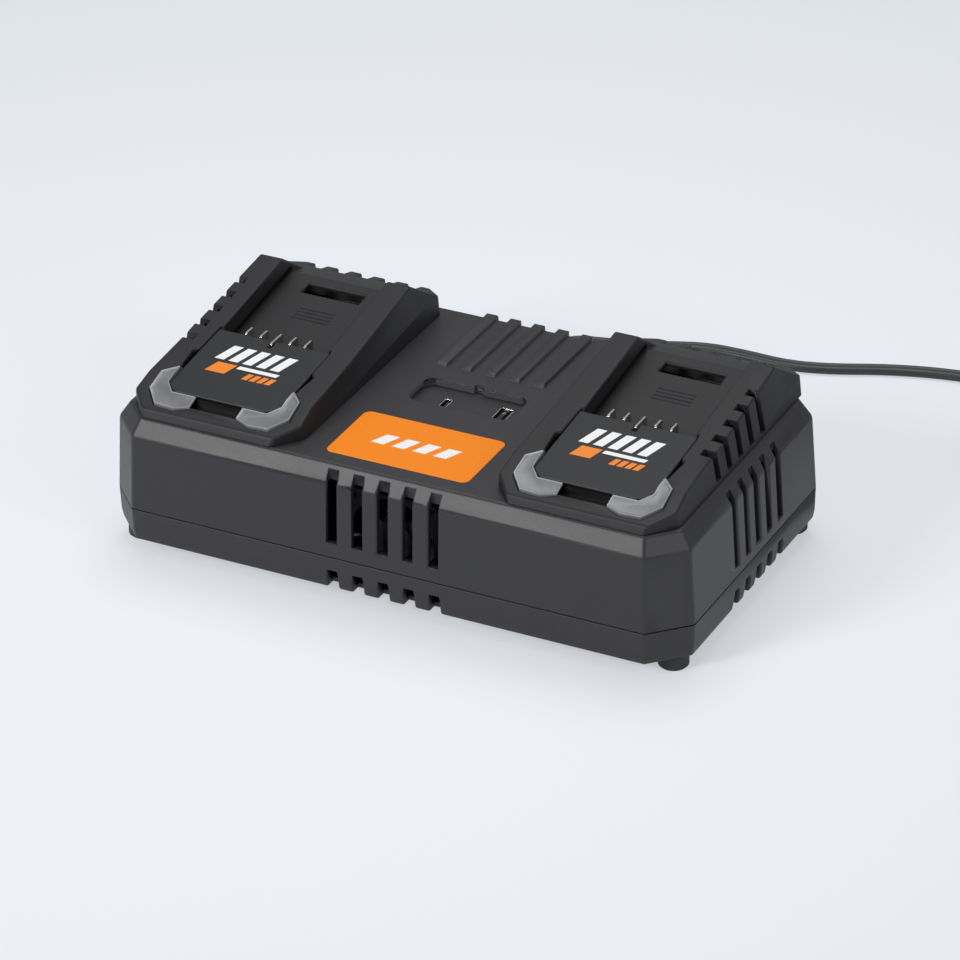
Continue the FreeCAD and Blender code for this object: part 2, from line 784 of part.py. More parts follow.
def usb_c_tongue():
    low = usb_board_top() + 3.0
    top = deck_z - recess_depth - 0.8
    return block(usb_c_x - 0.35, usb_c_x + 0.35, usb_c_y - 3.3, usb_c_y + 3.3, low, top)


def usb_board():
    top = usb_board_top()
    middle_y = (recess_y0 + recess_y1) / 2
    body = block(recess_x0 - 5, recess_x1 + 5, middle_y - 14, middle_y + 12, top - usb_board_thick, top)
    holes = [rod(x, middle_y, top - 5, top + 1, 1.2) for x in (recess_x0, recess_x1)]
    return body.cut(Part.makeCompound(holes))


def usb_board_screws():
    top = usb_board_top() - usb_board_thick
    middle_y = (recess_y0 + recess_y1) / 2
    screws = []
    for x in (recess_x0, recess_x1):
        screws.append(fuse([rod(x, middle_y, top - 1.6, top, 2.1), rod(x, middle_y, top, top + 6.0, 0.95)]))
    return Part.makeCompound(screws)


def main_board():
    body = block(-board_half_x, board_half_x, board_y0, board_y1, board_z, board_z + board_thick)
    holes = [rod(x, y, board_z - 1, board_z + 3, 1.3) for x, y in standoff_points]
    return body.cut(Part.makeCompound(holes))


def board_screws():
    top = board_z + board_thick
    screws = []
    for x, y in standoff_points:
        screws.append(fuse([rod(x, y, top, top + 1.8, 2.4), rod(x, y, top - 6.0, top, 1.05)]))
    return Part.makeCompound(screws)


def transformer_core():
    sx, sy, sz = core_size
    low = board_z + board_thick
    body = block(core_x - sx / 2, core_x + sx / 2, core_y - sy / 4, core_y + sy / 4, low + 2, low + sz)
    window_x = sx / 2 - core_leg
    leg = core_leg / 2
    windows = []
    for side in (1, -1):
        x0 = core_x + side * leg
        x1 = core_x + side * window_x
        windows.append(block(min(x0, x1), max(x0, x1), core_y - sy, core_y + sy, low + 8, low + sz - 6))
    return body.cut(Part.makeCompound(windows))


def transformer_winding():
    sx, sy, sz = core_size
    low = board_z + board_thick
    leg = core_leg / 2 + coil_gap
    window_x = sx / 2 - core_leg - coil_gap
    body = block(core_x - window_x, core_x + window_x, core_y - sy / 2, core_y + sy / 2,
                 low + 8 + coil_gap, low + sz - 6 - coil_gap)
    hole = block(core_x - leg, core_x + leg, core_y - sy / 4 - coil_gap, core_y + sy / 4 + coil_gap,
                 low, low + sz)
    rims = body.cut(hole)
    feet = []
    for side in (1, -1):
        y0 = core_y + side * (sy / 4 + coil_gap)
        y1 = core_y + side * sy / 2
        feet.append(block(core_x - window_x, core_x + window_x, min(y0, y1), max(y0, y1), low, low + 9))
    return fuse([rims] + feet)


def capacitors(points, radius, height):
    low = board_z + board_thick
    cans = []
    for x, y in points:
        cans.append(fuse([rod(x, y, low, low + 4.0, radius), rod(x, y, low + 4.0, low + 5.0, radius - 0.7),
                          rod(x, y, low + 5.0, low + height, radius)]))
    return Part.makeCompound(cans)


def heat_sink():
    low = board_z + board_thick
    base = block(0, sink_base_thick, sink_y - sink_length / 2, sink_y + sink_length / 2,
                 low, low + sink_height)
    fins = []
    for index in range(sink_fin_count):
        z = low + 3.0 + index * sink_fin_pitch
        fins.append(block(sink_base_thick - 0.1, sink_base_thick + 9.0, sink_y - sink_length / 2,
                          sink_y + sink_length / 2, z, z + sink_fin_thick))
    return fuse([base] + fins)


def power_transistors(side):
    low = board_z + board_thick
    thick, wide, tall = transistor_size
    bodies = []
    for index in (-1, 0, 1):
        y = sink_y + index * transistor_pitch * 0.8
        body = block(-thick, 0, y - wide / 2, y + wide / 2, low + 6.0, low + 6.0 + tall)
        legs = [block(-thick / 2 - 0.4, -thick / 2 + 0.4, y + offset - 0.5, y + offset + 0.5, low, low + 6.5)
                for offset in (-2.54, 0.0, 2.54)]
        bodies.append(fuse([body] + legs))
    shape = Part.makeCompound(bodies)
    return place_beside_sink(shape, side)


def place_beside_sink(shape, side):
    moved = shape.copy()
    moved.translate(Vec(sink_x, 0, 0))
    return moved if side > 0 else mirrored(moved)


def line_choke():
    low = board_z + board_thick
    ring = rod(choke_x, choke_y, low, low + choke_height, choke_outer)
    return ring.cut(rod(choke_x, choke_y, low - 1, low + choke_height + 1, choke_inner))


def line_fuse():
    low = board_z + board_thick
    z = low + fuse_radius + 1.0
    glass = Part.makeCylinder(fuse_radius - 0.3, fuse_length - 8, Vec(fuse_x + 4, fuse_y, z), Vec(1, 0, 0))
    ends = []
    for x in (fuse_x, fuse_x + fuse_length - 5):
        ends.append(Part.makeCylinder(fuse_radius, 5, Vec(x, fuse_y, z), Vec(1, 0, 0)))
        ends.append(block(x + 1, x + 4, fuse_y - 1.5, fuse_y + 1.5, low, z))
    return fuse([glass] + ends)


def bridge_rectifier():
    low = board_z + board_thick
    sx, sy, sz = bridge_size
    body = block(bridge_x - sx / 2, bridge_x + sx / 2, bridge_y - sy / 2, bridge_y + sy / 2,
                 low + 4, low + 4 + sz)
    legs = []
    for index in range(4):
        x = bridge_x + (index - 1.5) * 5.0
        legs.append(block(x - 0.5, x + 0.5, bridge_y - 0.5, bridge_y + 0.5, low, low + 4.5))
    return fuse([body] + legs)


def fan_centre_z():
    return wall + fan_size / 2


def fan_frame():
    half = fan_size / 2
    z = fan_centre_z()
    y0 = fan_y - fan_depth / 2
    y1 = fan_y + fan_depth / 2
    body = rounded_y_box(half, z, y0, y1)
    body = body.cut(rod_y(0, z, y0 - 1, y1 + 1, fan_ring_radius))
    holes = []
    for sx in (1, -1):
        for sz in (1, -1):
            holes.append(rod_y(sx * (half - 3.2), z + sz * (half - 3.2), y0 - 1, y1 + 1, 1.6))
    body = body.cut(Part.makeCompound(holes))
    cup = rod_y(0, z, y1 - fan_cup_thick, y1, fan_hub_radius)
    pin = rod_y(0, z, y0 + 1.4, y1 - 1.0, fan_shaft_radius)
    struts = []
    for index in range(4):
        strut = block(-fan_strut_width / 2, fan_strut_width / 2, y1 - 1.8, y1, z + fan_hub_radius - 1.5,
                      z + fan_ring_radius + 0.5)
        strut.rotate(Vec(0, 0, z), Vec(0, 1, 0), 45 + 90 * index)
        struts.append(strut)
    return fuse([body, cup, pin] + struts)


def rounded_y_box(half, z, y0, y1):
    body = block(-half, half, y0, y1, z - half, z + half)
    along = [edge for edge in body.Edges if abs(edge.tangentAt(edge.FirstParameter).y) > 0.9]
    return body.makeFillet(2.5, along)


def fan_rotor():
    z = fan_centre_z()
    y0 = fan_y - fan_depth / 2 + 0.6
    y1 = fan_y + fan_depth / 2 - fan_cup_thick - 0.4
    hub = rod_y(0, z, y0, y1, fan_hub_radius)
    blades = []
    for index in range(fan_blade_count):
        half_chord = (y1 - y0) / 2 / math.cos(math.radians(fan_blade_tilt)) - 0.5
        blade = block(-fan_blade_thick / 2, fan_blade_thick / 2, -half_chord, half_chord,
                      fan_hub_radius - 0.6, fan_tip_radius)
        blade.rotate(Vec(0, 0, 0), Vec(0, 0, 1), fan_blade_tilt)
        blade.translate(Vec(0, (y0 + y1) / 2, z))
        blade.rotate(Vec(0, 0, z), Vec(0, 1, 0), 360.0 / fan_blade_count * index)
        blades.append(blade)
    limit = rod_y(0, z, y0, y1, fan_tip_radius)
    body = fuse([hub] + blades).common(limit)
    return body.cut(rod_y(0, z, y0 - 1, y1 + 1, fan_shaft_radius + slide_gap))


def housing_screws():
    screws = []
    for x, y in housing_screw_points():
        head_top = 2 * screw_head_height
        head = rod(x, y, head_top - screw_head_height, head_top, screw_head_radius)
        shank = rod(x, y, head_top - 0.1, head_top + screw_length, screw_radius)
        cross = [block(x - 0.5, x + 0.5, y - 1.9, y + 1.9, 0, head_top - 1.2),
                 block(x - 1.9, x + 1.9, y - 0.5, y + 0.5, 0, head_top - 1.2)]
        screws.append(fuse([head, shank]).cut(Part.makeCompound(cross)))
    return Part.makeCompound(screws)


def dock_screws():
    screws = []
    under = deck_z - wall
    for side in (1, -1):
        for x, y in dock_points(side):
            head = rod(x, y, under - dock_screw_head_height, under, dock_screw_head_radius)
            shank = rod(x, y, under - 0.1, deck_z + dock_screw_length - 0.5, dock_screw_radius)
            screws.append(fuse([head, shank]))
    return Part.makeCompound(screws)


def strain_relief():
    y1 = rear_y + relief_length
    flange_y = inner_rear_wall_y(lead_exit_z + relief_flange_radius) - seat_gap
    profile = [(0, flange_y - relief_flange_thick), (relief_flange_radius, flange_y - relief_flange_thick),
               (relief_flange_radius, flange_y), (relief_root_radius, flange_y),
               (relief_root_radius, rear_y + 2.0)]
    step = (y1 - rear_y - 3.0) / relief_rib_count
    for index in range(relief_rib_count):
        start = rear_y + 2.0 + index * step
        share = (index + 0.5) / relief_rib_count
        radius = relief_root_radius + (relief_tip_radius - relief_root_radius) * share
        profile.append((radius - relief_rib_depth, start + step * 0.12))
        profile.append((radius - relief_rib_depth, start + step * 0.42))
        profile.append((radius, start + step * 0.54))
        profile.append((radius, start + step * 0.98))
    profile.append((relief_tip_radius - relief_rib_depth, y1))
    profile.append((0, y1))
    face = face_of([Vec(r, y, 0) for r, y in profile])
    body = face.revolve(Vec(0, 0, 0), Vec(0, 1, 0), 360)
    body.translate(Vec(lead_exit_x, 0, lead_exit_z))
    return body


def inner_rear_wall_y(z):
    return rear_y - (z - parting_z) * math.tan(math.radians(wall_draft)) - wall


def lead_points():
    start_y = rear_y + relief_length
    low = lead_radius - foot_height
    high = low + tie_thick
    end = (coil_centre[0], coil_centre[1] + coil_outer_radius, high)
    return [(lead_exit_x, start_y, lead_exit_z), (lead_exit_x, 106.0, lead_exit_z), (-11.4, 121.5, 15.2),
            (-9.2, 137.5, 7.2), (-3.4, 151.5, 0.6), (7.5, 162.6, low), (22.5, 168.6, low),
            (40.0, 169.2, low), (57.5, 168.3, low), (75.0, 172.8, low), (95.0, 182.0, low),
            (118.0, 188.8, low), (145.0, 192.0, low), (173.5, end[1], high), end]


def tangent_path(points):
    # Straight runs joined by arcs, each as large as its two runs allow.
    verts = [Vec(*p) for p in points]
    edges = []
    radii = []
    here = verts[0]
    for before, corner, after in zip(verts, verts[1:], verts[2:]):
        come = (corner - before)
        leave = (after - corner)
        short = min(come.Length, leave.Length)
        come.normalize()
        leave.normalize()
        turn = come.getAngle(leave)
        reach = 0.45 * short
        radius = reach / math.tan(turn / 2)
        radii.append(radius)
        first = corner - come * reach
        last = corner + leave * reach
        bisect = (leave - come)
        bisect.normalize()
        centre = corner + bisect * (radius / math.cos(turn / 2))
        middle = centre - bisect * radius
        edges.append(Part.LineSegment(here, first).toShape())
        edges.append(Part.Arc(first, middle, last).toShape())
        here = last
    edges.append(Part.LineSegment(here, verts[-1]).toShape())
    return edges, radii


def tube_ring(edges, radius):
    start = edges[0].valueAt(edges[0].FirstParameter)
    heading = edges[0].tangentAt(edges[0].FirstParameter)
    side = heading.cross(Vec(0, 0, 1))
    side.normalize()
    up = side.cross(heading)
    corners = []
    for index in range(lead_sides):
        angle = 2 * math.pi * (index + 0.5) / lead_sides
        corners.append(start + side * (radius * math.cos(angle)) + up * (radius * math.sin(angle)))
    return Part.makePolygon(corners + [corners[0]])


def tube_along(edges, radius):
    pipe = Part.BRepOffsetAPI.MakePipeShell(Part.Wire(edges))
    pipe.add(tube_ring(edges, radius))
    pipe.build()
    pipe.makeSolid()
    return pipe.shape()


def quarter(start, heading, end):
    # A quarter turn from start, leaving along heading, to end.
    chord = end - start
    radius = chord.Length / math.sqrt(2)
    inward = chord - heading * chord.dot(heading)
    inward.normalize()
    centre = start + inward * radius
    spread = (start - centre) + (end - centre)
    spread.normalize()
    return Part.Arc(start, centre + spread * radius, end).toShape()


def half_turn(start, heading, across, radius):
    # Two quarter turns in one level plane; across points to the far side.
    top = start + across * radius + heading * radius
    end = start + across * (2 * radius)
    return [quarter(start, heading, top), quarter(top, across, end)], end


def climbing_half_turn(start, heading, across, radius, rise):
    lift = Vec(0, 0, rise)
    reach = math.sqrt(radius ** 2 + (rise / 2) ** 2)
    top = start + across * radius + heading * reach + lift * 0.5
    end = start + across * (2 * radius) + lift
    slant = (across * radius + lift * 0.5)
    slant.normalize()
    return [quarter(start, heading, top), quarter(top, slant, end)], end


def coil_inner_radius():
    return coil_outer_radius - coil_half_turns * coil_pitch / 2


def coil_edges():
    low = lead_radius - foot_height + tie_thick
    here = Vec(coil_centre[0], coil_centre[1] + coil_outer_radius, low)
    right = Vec(1, 0, 0)
    down = Vec(0, -1, 0)
    edges = []
    radius = coil_outer_radius
    heading, across = right, down
    for index in range(coil_half_turns):
        arcs, here = half_turn(here, heading, across, radius)
        edges += arcs
        heading, across = heading * -1, across * -1
        radius -= coil_pitch / 2
    arcs, here = climbing_half_turn(here, heading, across, radius, coil_pitch)
    edges += arcs
    heading, across = heading * -1, across * -1
    radius += coil_pitch / 2
    for index in range(coil_half_turns - 1):
        arcs, here = half_turn(here, heading, across, radius)
        edges += arcs
        heading, across = heading * -1, across * -1
        radius += coil_pitch / 2
    last = here + heading * radius + across * radius
    edges.append(quarter(here, heading, last))
    drop = last.z - (plug_thick / 2 - foot_height)
    bend_radius = 60.0
    sweep = math.acos(1 - drop / (2 * bend_radius))
    run = 2 * bend_radius * math.sin(sweep)
    edges += s_bend(last, across, run, drop, bend_radius, sweep)
    bend_end = last + across * run + Vec(0, 0, -drop)
    tail_end = bend_end + across * 6.0
    edges.append(Part.LineSegment(bend_end, tail_end).toShape())
    return edges, tail_end


def s_bend(start, heading, run, drop, radius, sweep):
    centre = start + Vec(0, 0, -radius)
    middle = start + heading * (run / 2) + Vec(0, 0, -drop / 2)
    half_way = centre + heading * (radius * math.sin(sweep / 2)) + Vec(0, 0, radius * math.cos(sweep / 2))
    end = start + heading * run + Vec(0, 0, -drop)
    centre_two = end + Vec(0, 0, radius)
    half_two = centre_two - heading * (radius * math.sin(sweep / 2)) - Vec(0, 0, radius * math.cos(sweep / 2))
    return [Part.Arc(start, half_way, middle).toShape(), Part.Arc(middle, half_two, end).toShape()]


def least_self_gap(edges, diameter):
    points = []
    travelled = 0.0
    for edge in edges:
        for index, point in enumerate(edge.discretize(Number=14)[:-1]):
            points.append((travelled + edge.Length * index / 13, point))
        travelled += edge.Length
    step = edges[0].Length / 13
    least = 1e9
    for index, (first_at, first) in enumerate(points):
        for second_at, second in points[index + 1:]:
            if second_at - first_at > 4 * diameter + step:
                gap = first.distanceToPoint(second)
                least = min(least, gap)
    return least - diameter


def report_tube(name, edges, shape):
    length = sum(edge.Length for edge in edges)
    expected = Part.Face(tube_ring(edges, lead_radius)).Area * length
    print(name, "length", round(length, 1), "volume share", round(shape.Volume / expected, 5))
    return length


def mains_lead():
    edges, radii = tangent_path(lead_points())
    print("lead radii", [round(r, 1) for r in radii])
    shape = tube_along(edges, lead_radius)
    report_tube("mains lead", edges, shape)
    return shape


def lead_coil():
    edges, tail_end = coil_edges()
    shape = tube_along(edges, lead_radius)
    report_tube("lead coil", edges, shape)
    print("least gap between turns", round(least_self_gap(edges, 2 * lead_radius), 2))
    return shape, tail_end


def coil_tie():
    # A strap round the turns, on the side away from the plug.
    middle_y = coil_centre[1] - coil_pitch / 2
    outer_x = coil_centre[0] - (coil_outer_radius - coil_pitch / 2) - lead_radius - 0.6
    inner_x = coil_centre[0] - coil_inner_radius() + lead_radius + 0.9
    low = -foot_height + tie_thick - 0.1
    high = low + 2 * lead_radius + coil_pitch + 0.6
    width = 8.0
    ring = rounded_strap(outer_x - tie_thick, inner_x + tie_thick, low - tie_thick + 0.1, high + tie_thick,
                         middle_y, width)
    hole = rounded_strap(outer_x, inner_x, low, high, middle_y, width + 2)
    return ring.cut(hole)


def rounded_strap(x0, x1, z0, z1, y, width):
    body = block(x0, x1, y - width / 2, y + width / 2, z0, z1)
    along = [edge for edge in body.Edges if abs(edge.tangentAt(edge.FirstParameter).y) > 0.9]
    return body.makeFillet(1.6, along)


def plug_outline(y_top, middle_x):
    half = plug_width / 2
    neck = plug_neck_width / 2
    return [(middle_x - neck, y_top), (middle_x + neck, y_top), (middle_x + half * 0.62, y_top - 12),
            (middle_x + half, y_top - 25), (middle_x + half, y_top - plug_length),
            (middle_x - half, y_top - plug_length), (middle_x - half, y_top - 25),
            (middle_x - half * 0.62, y_top - 12)]


def mains_plug(tail_end):
    low = -foot_height
    body = prism_z(plug_outline(tail_end.y, tail_end.x), low, low + plug_thick)
    upright = [edge for edge in body.Edges if abs(edge.tangentAt(edge.FirstParameter).z) > 0.9]
    return body.makeFillet(2.0, upright)


def plug_pins(tail_end):
    z = -foot_height + plug_thick / 2
    y1 = tail_end.y - plug_length
    pins = []
    for side in (1, -1):
        x = tail_end.x + side * plug_pin_spacing / 2
        pin = rod_y(x, z, y1 - plug_pin_length, y1, plug_pin_radius)
        tip = [edge for edge in pin.Edges if edge.BoundBox.YMax < y1 - plug_pin_length + 0.1]
        pins.append(pin.makeFillet(1.2, tip))
    return Part.makeCompound(pins)


def save_docks():
    for side, word in ((-1, "left"), (1, "right")):
        shift = Vec(side * bay_x, 0, 0)
        save(word + "_battery_dock", dock(side))
        board, lamps = lamp_board()
        pieces = {"_nose_plate": nose_plate(), "_dock_lens_left": lens(-1), "_dock_lens_right": lens(1),
                  "_terminal_block": terminal_block(), "_terminal_blades": terminal_blades(),
                  "_lamp_board": board, "_lamps": lamps}
        for ending, shape in pieces.items():
            shape.translate(shift)
            save(word + ending, shape)


def save_electronics():
    save("main_board", main_board())
    save("board_screws", board_screws())
    save("transformer_core", transformer_core())
    save("transformer_winding", transformer_winding())
    save("bulk_capacitors", capacitors(bulk_cap_points, bulk_cap_radius, bulk_cap_height))
    save("output_capacitors", capacitors(small_cap_points, small_cap_radius, small_cap_height))
    sink = heat_sink()
    save("right_heat_sink", place_beside_sink(sink, 1))
    save("left_heat_sink", place_beside_sink(sink, -1))
    save("right_power_transistors", power_transistors(1))
    save("left_power_transistors", power_transistors(-1))
    save("line_choke", line_choke())
    save("line_fuse", line_fuse())
    save("bridge_rectifier", bridge_rectifier())
    save("usb_board", usb_board())
    save("usb_board_screws", usb_board_screws())
    save("usb_a_shell", usb_a_shell())
    save("usb_a_tongue", usb_a_tongue())
    save("usb_c_shell", usb_c_shell())
    save("usb_c_tongue", usb_c_tongue())
    save("fan_frame", fan_frame())
    save("fan_rotor", fan_rotor())


def save_lead():
    save("strain_relief", strain_relief())
    save("mains_lead", mains_lead())
    coil, tail_end = lead_coil()
    save("lead_coil", coil)
    save("coil_tie", coil_tie())
    save("mains_plug", mains_plug(tail_end))
    save("plug_pins", plug_pins(tail_end))


save("bottom_housing", bottom_housing())
save("top_housing", top_housing())
save("rubber_feet", rubber_feet())
save("deck_label", deck_label())
save("housing_screws", housing_screws())
save("dock_screws", dock_screws())
save_docks()
save_electronics()
save_lead()
print("pieces saved:", saved_count)
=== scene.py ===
import math

import bmesh
import bpy
from mathutils import Matrix, Vector


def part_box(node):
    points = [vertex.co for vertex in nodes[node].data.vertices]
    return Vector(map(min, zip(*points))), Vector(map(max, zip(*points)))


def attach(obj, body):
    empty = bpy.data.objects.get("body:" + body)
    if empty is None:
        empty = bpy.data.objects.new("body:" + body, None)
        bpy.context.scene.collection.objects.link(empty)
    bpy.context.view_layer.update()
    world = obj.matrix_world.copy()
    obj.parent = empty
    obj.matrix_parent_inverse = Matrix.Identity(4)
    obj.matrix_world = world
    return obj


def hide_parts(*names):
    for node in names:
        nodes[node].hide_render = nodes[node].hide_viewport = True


MM = 0.001

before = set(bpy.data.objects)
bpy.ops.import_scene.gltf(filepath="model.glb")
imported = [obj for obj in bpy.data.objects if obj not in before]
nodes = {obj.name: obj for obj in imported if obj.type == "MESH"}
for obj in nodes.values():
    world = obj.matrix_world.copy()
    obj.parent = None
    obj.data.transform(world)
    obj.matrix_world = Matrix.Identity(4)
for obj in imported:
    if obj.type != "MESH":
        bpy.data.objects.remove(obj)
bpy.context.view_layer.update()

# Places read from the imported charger, in millimetres
housing_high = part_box("top_housing")[1] / MM
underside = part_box("bottom_housing")[0].z / MM
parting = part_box("bottom_housing")[1].z / MM
dock_low, dock_high = [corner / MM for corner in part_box("right_battery_dock")]
bay_x = (dock_low.x + dock_high.x) / 2
label_low, label_high = [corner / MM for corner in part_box("deck_label")]
relief_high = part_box("strain_relief")[1] / MM
plug_low, plug_high = [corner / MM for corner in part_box("mains_plug")]
tie_low, tie_high = [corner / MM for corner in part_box("coil_tie")]

# Camera, as the photograph was taken
camera_azimuth = math.radians(27.51)
camera_elevation = math.radians(29.83)
camera_roll = math.radians(-1.26)
camera_distance = 1814.5
camera_target = Vector((10.97, -10.09, 24.0 + underside))
camera_lens = 181.66

# Flat twin lead
lead_width = 6.0
lead_thick = 3.3
lead_web = 1.5
table_rest = lead_thick / 2
lead_exit_x = -12.0
relief_half_height = 6.6
lead_exit = Vector((lead_exit_x, relief_high.y, relief_high.z - relief_half_height))
turn_play = 0.15
coil_centre = Vector((200.0, 150.0, 0.0))
coil_radius = 43.0
coil_pitch = 6.5
coil_half_turns = 7
turn_points = 16
tie_thick = 1.0
tie_play = 0.3

# Mouth in each dock's nose, under the lip of the plate
mouth_width = 5.0
mouth_half_length = 10.0
mouth_depth = 3.4
plate_play = 0.2
close = 0.1

# Mouldings: roundings of the edges in view, and where edges stay sharp
housing_round = 0.9
dock_round = 0.8
plate_round = 0.5
lens_round = 0.22
plug_round = 1.6
recess_half_x = 30.0
recess_y = (-20.0, 19.0)
side_slots_x = 28.0
side_slots_y = (-22.0, 28.0)
flat_smooth_angle = 48
round_smooth_angle = 40

# Nose plate's lip and the lenses' dish
lip_thick = 0.8
lip_cut_back = 2.6
lip_reach = 6.0
lens_rim = 0.9
lens_dish = 0.35

merge_distance = 0.00001
floor_glow = 0.55


def shown(mesh_object):
    bpy.context.scene.collection.objects.link(mesh_object)
    return mesh_object


def make_camera():
    across = math.cos(camera_elevation)
    back = Vector((math.sin(camera_azimuth) * across, -math.cos(camera_azimuth) * across,
                   math.sin(camera_elevation)))
    level = (-back).cross(Vector((0, 0, 1))).normalized()
    upright = level.cross(-back)
    right = level * math.cos(camera_roll) + upright * math.sin(camera_roll)
    up = upright * math.cos(camera_roll) - level * math.sin(camera_roll)
    data = bpy.data.cameras.new("photo_camera")
    data.lens = camera_lens
    data.sensor_width = 36.0
    data.clip_end = 50.0
    camera = shown(bpy.data.objects.new("photo_camera", data))
    turned = Matrix((right, up, back)).transposed().to_4x4()
    turned.translation = (camera_target + back * camera_distance) * MM
    camera.matrix_world = turned
    bpy.context.scene.camera = camera


def route_points():
    """The free stretch from the strain relief to the coil."""
    rest = table_rest
    high = tie_thick + table_rest
    start = lead_exit
    return [(start.x, start.y, start.z), (start.x, 106.0, start.z), (-11.4, 121.5, 20.6), (-9.2, 137.5, 12.2),
            (-3.4, 151.5, 5.2), (7.5, 162.6, rest), (22.5, 168.6, rest), (40.0, 169.2, rest),
            (57.5, 168.3, rest), (75.0, 172.8, rest), (95.0, 182.0, rest), (118.0, 188.8, rest),
            (145.0, 192.0, rest), (173.5, 193.0, high)]


def arc_points(middle, heading, across, radius, steps):
    """Corner points of a turn, far enough out for the smooth line to keep the radius."""
    outward = 1 / math.cos(math.pi / turn_points)
    points = []
    for step in range(steps):
        angle = math.pi * (step + 0.5) / (turn_points // 2)
        point = middle - across * (radius * outward * math.cos(angle))
        points.append(point + heading * (radius * outward * math.sin(angle)))
    return points


def coil_points():
    """Turns that close in, climb one layer in the tightest half turn, and open out again."""
    low = tie_thick + table_rest
    high = low + lead_thick + turn_play
    per_half = turn_points // 2
    centre = coil_centre + Vector((0, coil_radius, 0))
    heading = Vector((1, 0, 0))
    across = Vector((0, -1, 0))
    radii = [coil_radius - half * coil_pitch / 2 for half in range(coil_half_turns + 1)]
    radii += [coil_radius - half * coil_pitch / 2 for half in range(coil_half_turns - 1, 0, -1)]
    here = centre
    points = []
    for half, radius in enumerate(radii):
        middle = here + across * radius
        for step, point in enumerate(arc_points(middle, heading, across, radius, per_half)):
            share = min(max((half - coil_half_turns) + (step + 0.5) / per_half, 0.0), 1.0)
            points.append((point.x, point.y, low + (high - low) * share))
        here = middle + across * radius
        heading, across = -heading, -across
    middle = here + across * coil_radius
    points += [(point.x, point.y, high)
               for point in arc_points(middle, heading, across, coil_radius, per_half // 2)]
    end_x = middle.x + coil_radius
    plug_z = (plug_low.z + plug_high.z) / 2
    points += [(end_x, middle.y - 6.0, high), (end_x, middle.y - 18.0, plug_z + 0.1),
               (end_x, plug_high.y + 5.0, plug_z), (end_x, plug_high.y, plug_z)]
    return points


def smooth_line(name, points):
    data = bpy.data.curves.new(name, "CURVE")
    data.dimensions = "3D"
    spline = data.splines.new("NURBS")
    spline.points.add(len(points) - 1)
    for knot, point in zip(spline.points, points):
        knot.co = (point[0] * MM, point[1] * MM, point[2] * MM, 1)
    spline.order_u = 3
    spline.use_endpoint_u = True
    spline.resolution_u = 4
    return data


def line_points(data):
    probe = bpy.data.objects.new("probe", data)
    shown(probe)
    bpy.context.view_layer.update()
    mesh = bpy.data.meshes.new_from_object(probe)
    points = [vertex.co.copy() for vertex in mesh.vertices]
    bpy.data.objects.remove(probe)
    bpy.data.meshes.remove(mesh)
    return points


def finish_mesh(work, name, smooth_angle=None):
    mesh = bpy.data.meshes.new(name)
    work.to_mesh(mesh)
    work.free()
    if smooth_angle is not None:
        mesh.shade_smooth()
        mesh.set_sharp_from_angle(angle=math.radians(smooth_angle))
    return shown(bpy.data.objects.new(name, mesh))


def twin_section(steps=9):
    """Two round cores side by side, joined by a thinner web."""
    core = lead_thick / 2
    middle = lead_width / 2 - core
    upper = []
    for index in range(2 * steps + 1):
        x = -lead_width / 2 * math.cos(math.pi * index / (2 * steps))
        rise = math.sqrt(max(core ** 2 - (abs(x) - middle) ** 2, 0.0))
        upper.append((x * MM, max(rise, lead_web / 2 * (abs(x) < middle)) * MM))
    lower = [(x, -z) for x, z in reversed(upper[1:-1])]
    return upper + lower


def sweep_flat(name, line, section):
    work = bmesh.new()
    rings = []
    for index, point in enumerate(line):
        before = line[max(index - 1, 0)]
        after = line[min(index + 1, len(line) - 1)]
        along = (after - before).normalized()
        side = along.cross(Vector((0, 0, 1))).normalized()
        up = side.cross(along)
        rings.append([work.verts.new(point + side * x + up * z) for x, z in section])
    loops = []
    for ring in rings:
        loops.append([work.edges.new((ring[i - 1], ring[i])) for i in range(len(ring))])
    for first, second in zip(loops, loops[1:]):
        bmesh.ops.bridge_loops(work, edges=first + second)
    for ring in (rings[0], rings[-1]):
        bmesh.ops.contextual_create(work, geom=ring)
    bmesh.ops.recalc_face_normals(work, faces=work.faces[:])
    return finish_mesh(work, name, 50)


def make_lead():
    data = smooth_line("lead_route", route_points() + coil_points())
    line = line_points(data)
    length = sum((b - a).length for a, b in zip(line, line[1:]))
    lead = sweep_flat("mains_flex", line, twin_section())
    return lead, line, length


make_camera()
lead, lead_line, lead_length = make_lead()


class Amount:
    """A number that varies over a surface, for use in Python sums."""

    def __init__(self, finish, socket):
        self.finish = finish
        self.socket = socket

    def sum(self, operation, first, second=0.0, third=0.0):
        return self.finish.node("ShaderNodeMath", {"operation": operation}, [first, second, third])

    def __add__(self, other):
        return self.sum("ADD", self, other)

    def __radd__(self, other):
        return self.sum("ADD", other, self)

    def __sub__(self, other):
        return self.sum("SUBTRACT", self, other)

    def __rsub__(self, other):
        return self.sum("SUBTRACT", other, self)

    def __mul__(self, other):
        return self.sum("MULTIPLY", self, other)

    def __rmul__(self, other):
        return self.sum("MULTIPLY", other, self)

    def __truediv__(self, other):
        return self.sum("DIVIDE", self, other)

    def __gt__(self, other):
        return self.sum("GREATER_THAN", self, other)

    def __lt__(self, other):
        return self.sum("LESS_THAN", self, other)

    def repeat(self):
        return self.sum("FRACT", self)

    def held(self):
        return self.finish.node("ShaderNodeClamp", {}, [self, 0.0, 1.0])

    def between(self, low, high):
        return (self > low) * (self < high)


